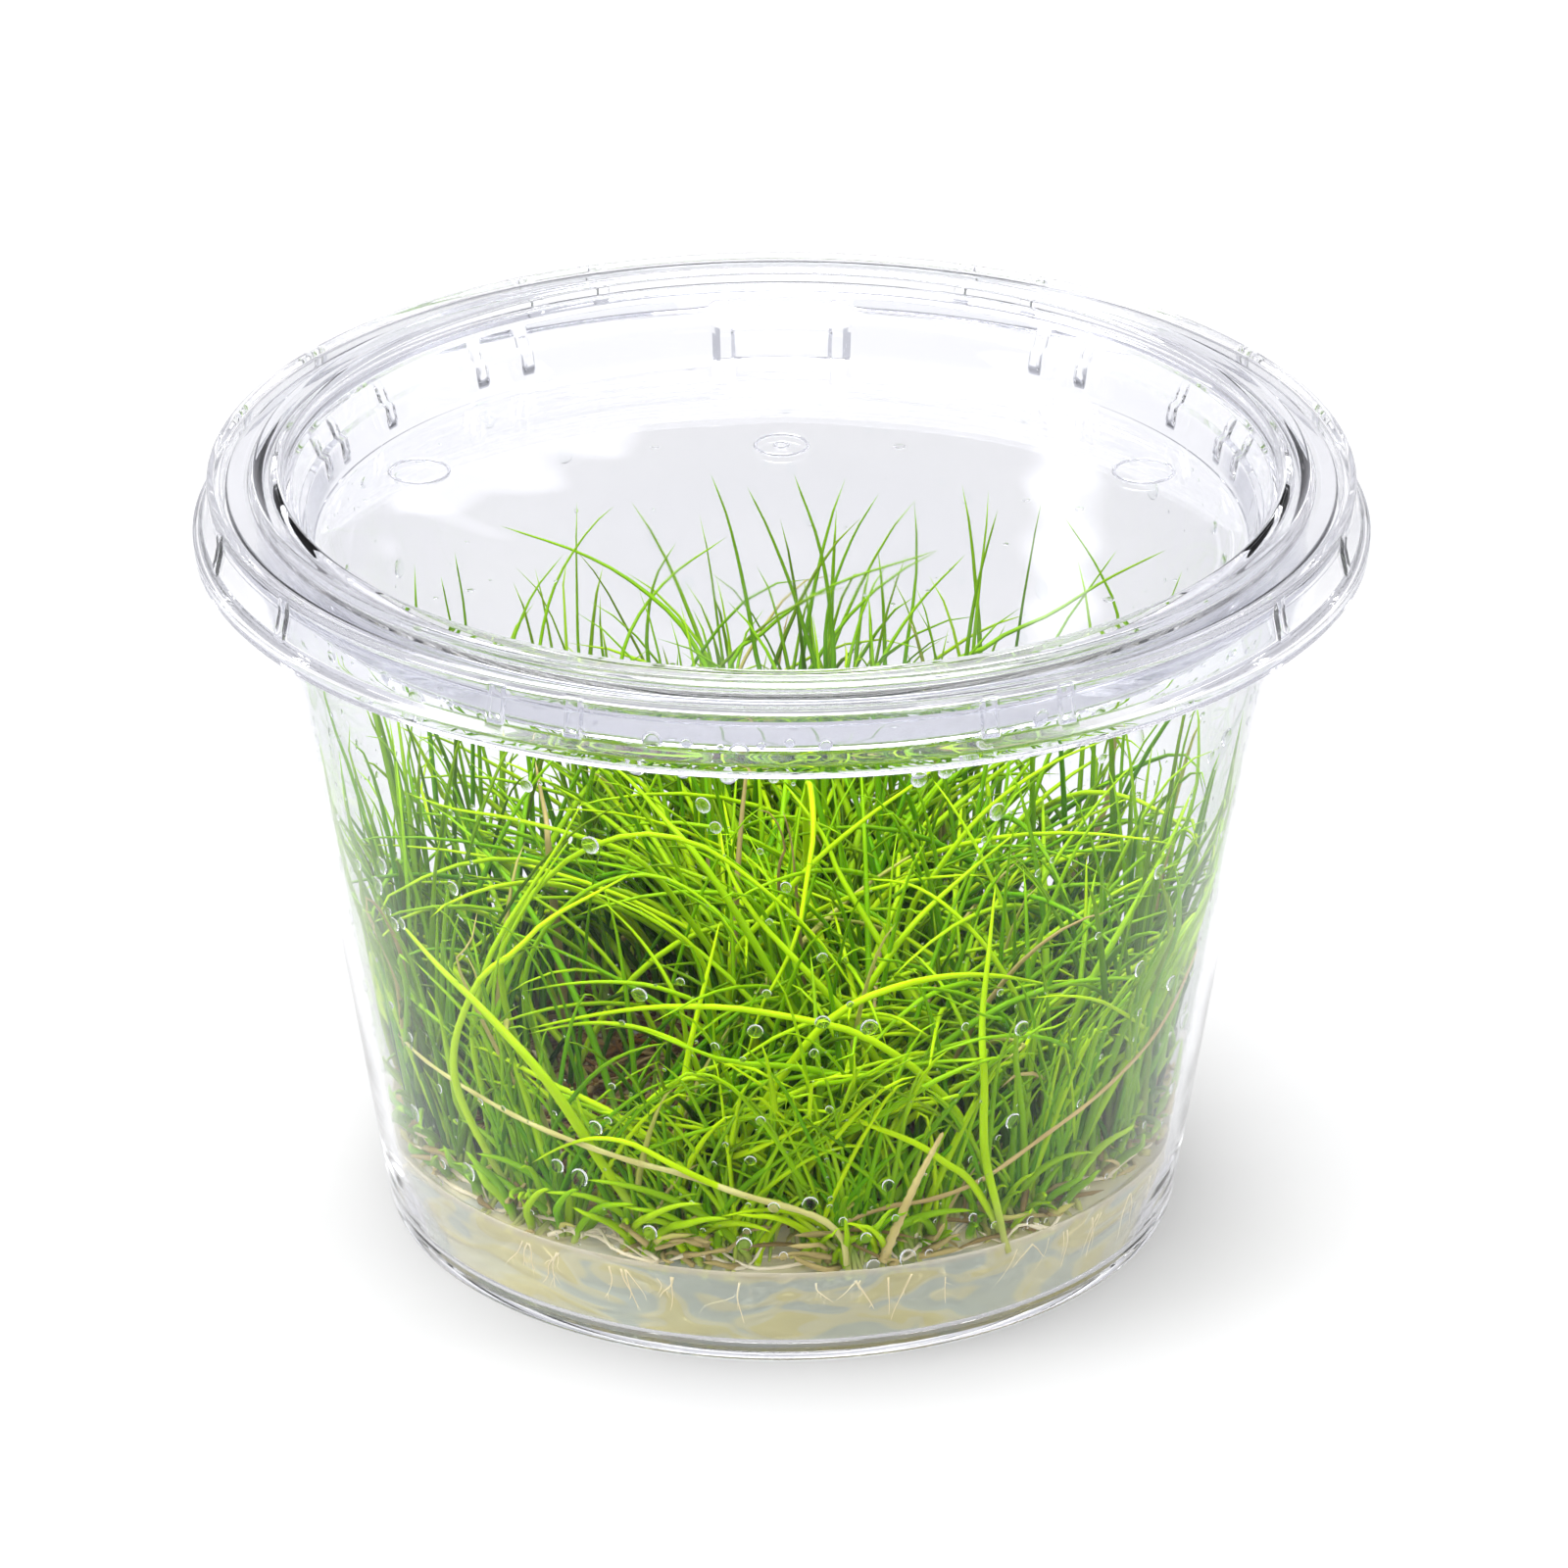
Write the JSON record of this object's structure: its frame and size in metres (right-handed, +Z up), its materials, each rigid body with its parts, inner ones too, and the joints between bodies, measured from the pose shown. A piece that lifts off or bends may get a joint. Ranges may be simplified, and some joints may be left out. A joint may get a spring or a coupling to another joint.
{
  "type": "dwarf hairgrass in a tissue culture cup",
  "caption": "Dwarf hairgrass turf growing on clear jelly inside a round, tapered, see-through cup with a recessed snap lid.",
  "frame": {"origin": "middle of the cup's flat foot", "axes": "+Z up out of the cup's mouth, -Y towards the front, where the runners arch along the wall, +X to the right"},
  "size_m": [0.1002, 0.1002, 0.0687],
  "materials": {
    "clear_cup": "clear polished plastic with fine drops of condensation inside",
    "clear_lid": "clear polished plastic, edges faintly lavender",
    "jelly": "wet, translucent, pale cream jelly with blue-grey depths",
    "leaf": "smooth waxy fresh green leaf, brighter and yellower towards the light",
    "straw": "dry straw-coloured plant fibre, semi-matt"
  },
  "bodies": {
    "root": {"cup": "clear_cup", "lid": "clear_lid", "gel": "jelly", "hairgrass_tuft_01": "leaf", "hairgrass_tuft_02": "leaf", "hairgrass_tuft_03": "leaf", "hairgrass_tuft_04": "leaf", "hairgrass_tuft_05": "leaf", "hairgrass_tuft_06": "leaf", "hairgrass_tuft_07": "leaf", "hairgrass_tuft_08": "leaf", "hairgrass_tuft_09": "leaf", "hairgrass_tuft_10": "leaf", "hairgrass_tuft_11": "leaf", "hairgrass_tuft_12": "leaf", "hairgrass_tuft_13": "leaf", "hairgrass_tuft_14": "leaf", "hairgrass_tuft_15": "leaf", "hairgrass_tuft_16": "leaf", "hairgrass_tuft_17": "leaf", "hairgrass_tuft_18": "leaf", "hairgrass_tuft_19": "leaf", "hairgrass_tuft_20": "leaf", "hairgrass_tuft_21": "leaf", "hairgrass_tuft_22": "leaf", "hairgrass_tuft_23": "leaf", "hairgrass_tuft_24": "leaf", "hairgrass_tuft_25": "leaf", "hairgrass_tuft_26": "leaf", "hairgrass_tuft_27": "leaf", "hairgrass_tuft_28": "leaf", "hairgrass_tuft_29": "leaf", "hairgrass_tuft_30": "leaf", "runner_left": "straw", "runner_right": "straw", "runner_back": "straw", "dead_leaf": "straw"}
  },
  "joints": []
}
